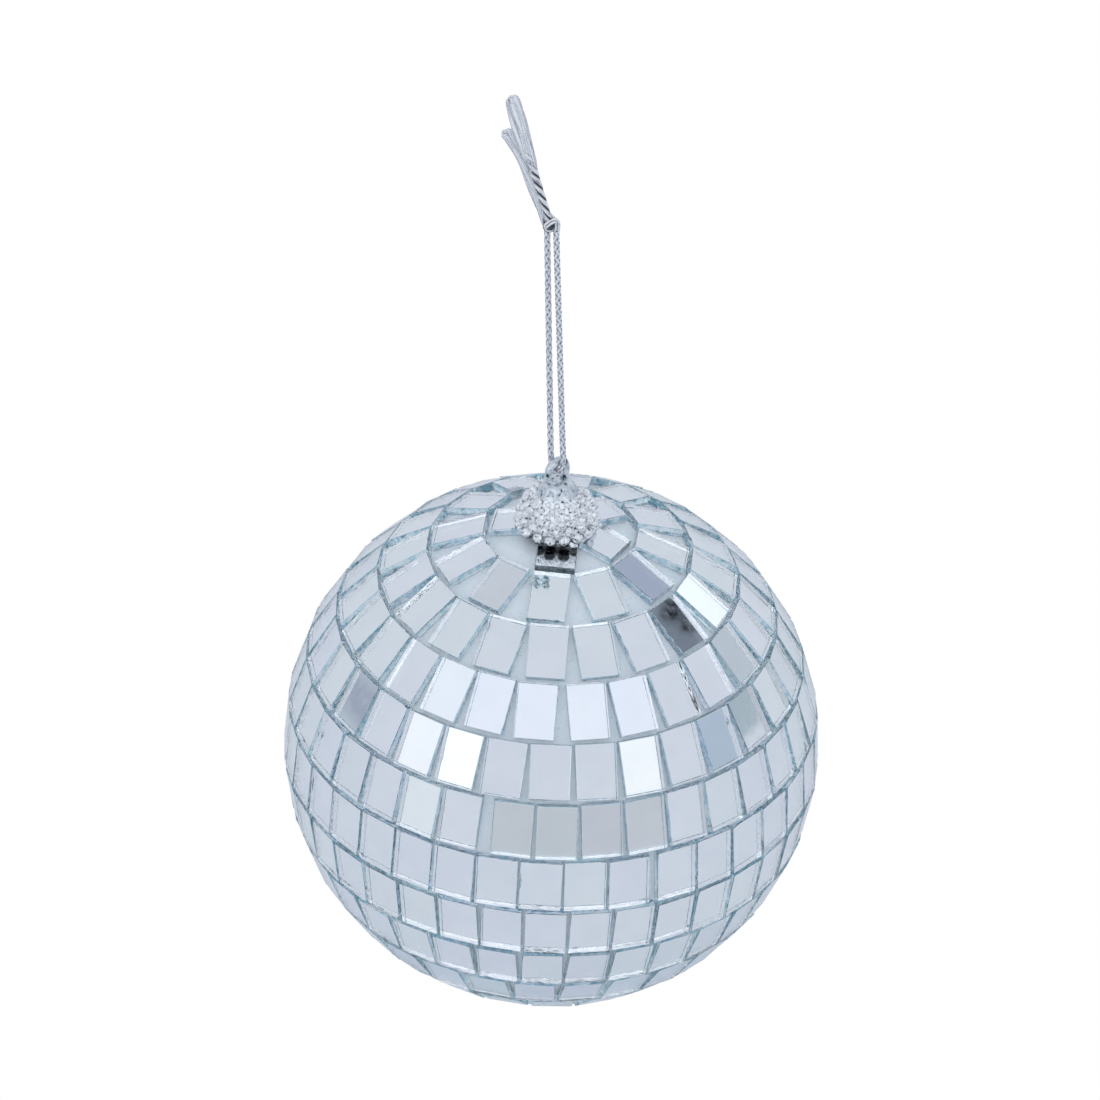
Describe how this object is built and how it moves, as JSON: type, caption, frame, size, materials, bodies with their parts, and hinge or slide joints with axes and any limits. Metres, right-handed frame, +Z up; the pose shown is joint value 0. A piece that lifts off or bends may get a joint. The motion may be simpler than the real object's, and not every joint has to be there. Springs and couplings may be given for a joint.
{
  "type": "mirror ball",
  "caption": "Hanging ball covered in flat rectangular glass mirrors, with a beaded clear cap, a ring and a knotted braided cord loop.",
  "frame": {"origin": "inside the top of the cord loop, at the knot's underside, where a hook carries the ball", "axes": "+Z up along the hanging line, -Y towards the ball's front, +X to the right seen from the front"},
  "size_m": [0.0998, 0.0998, 0.1902],
  "materials": {
    "foam": "white expanded foam, fine beads",
    "coat": "silver-grey glue and paint, slightly uneven, satin",
    "mirror": "silvered clear glass with cut, slightly ground edges",
    "cap": "clear moulded plastic beads, glossy, silvery",
    "peg": "plain moulded plastic",
    "glue": "clear hot-melt glue, slightly milky",
    "cord": "braided metallic silver thread",
    "cord_end": "loosened metallic silver threads"
  },
  "bodies": {
    "knot": {"cord_knot": "cord", "cord_tail_long": "cord_end", "cord_tail_short": "cord_end"},
    "loop": {"cord_loop": "cord"},
    "ball": {"foam_core": "foam", "adhesive_coat": "coat", "mirror_row_01": "mirror", "mirror_row_02": "mirror", "mirror_row_03": "mirror", "mirror_row_04": "mirror", "mirror_row_05": "mirror", "mirror_row_06": "mirror", "mirror_row_07": "mirror", "mirror_row_08": "mirror", "mirror_row_09": "mirror", "mirror_row_10": "mirror", "mirror_row_11": "mirror", "mirror_row_12": "mirror", "mirror_row_13": "mirror", "bottom_mirror": "mirror", "hanger_cap": "cap", "anchor_peg": "peg", "cap_glue": "glue"}
  },
  "joints": [
    {"name": "cord_twist", "type": "hinge", "parent": "knot", "child": "loop", "pos_m": [0, 0, 0], "axis": [0, 0, 1], "continuous": true},
    {"name": "ball_tip", "type": "hinge", "parent": "loop", "child": "ball", "pos_m": [0.001, -0.0007, -0.04905], "axis": [0.7431, 0.6691, 0], "range_deg": [-60, 60]}
  ]
}
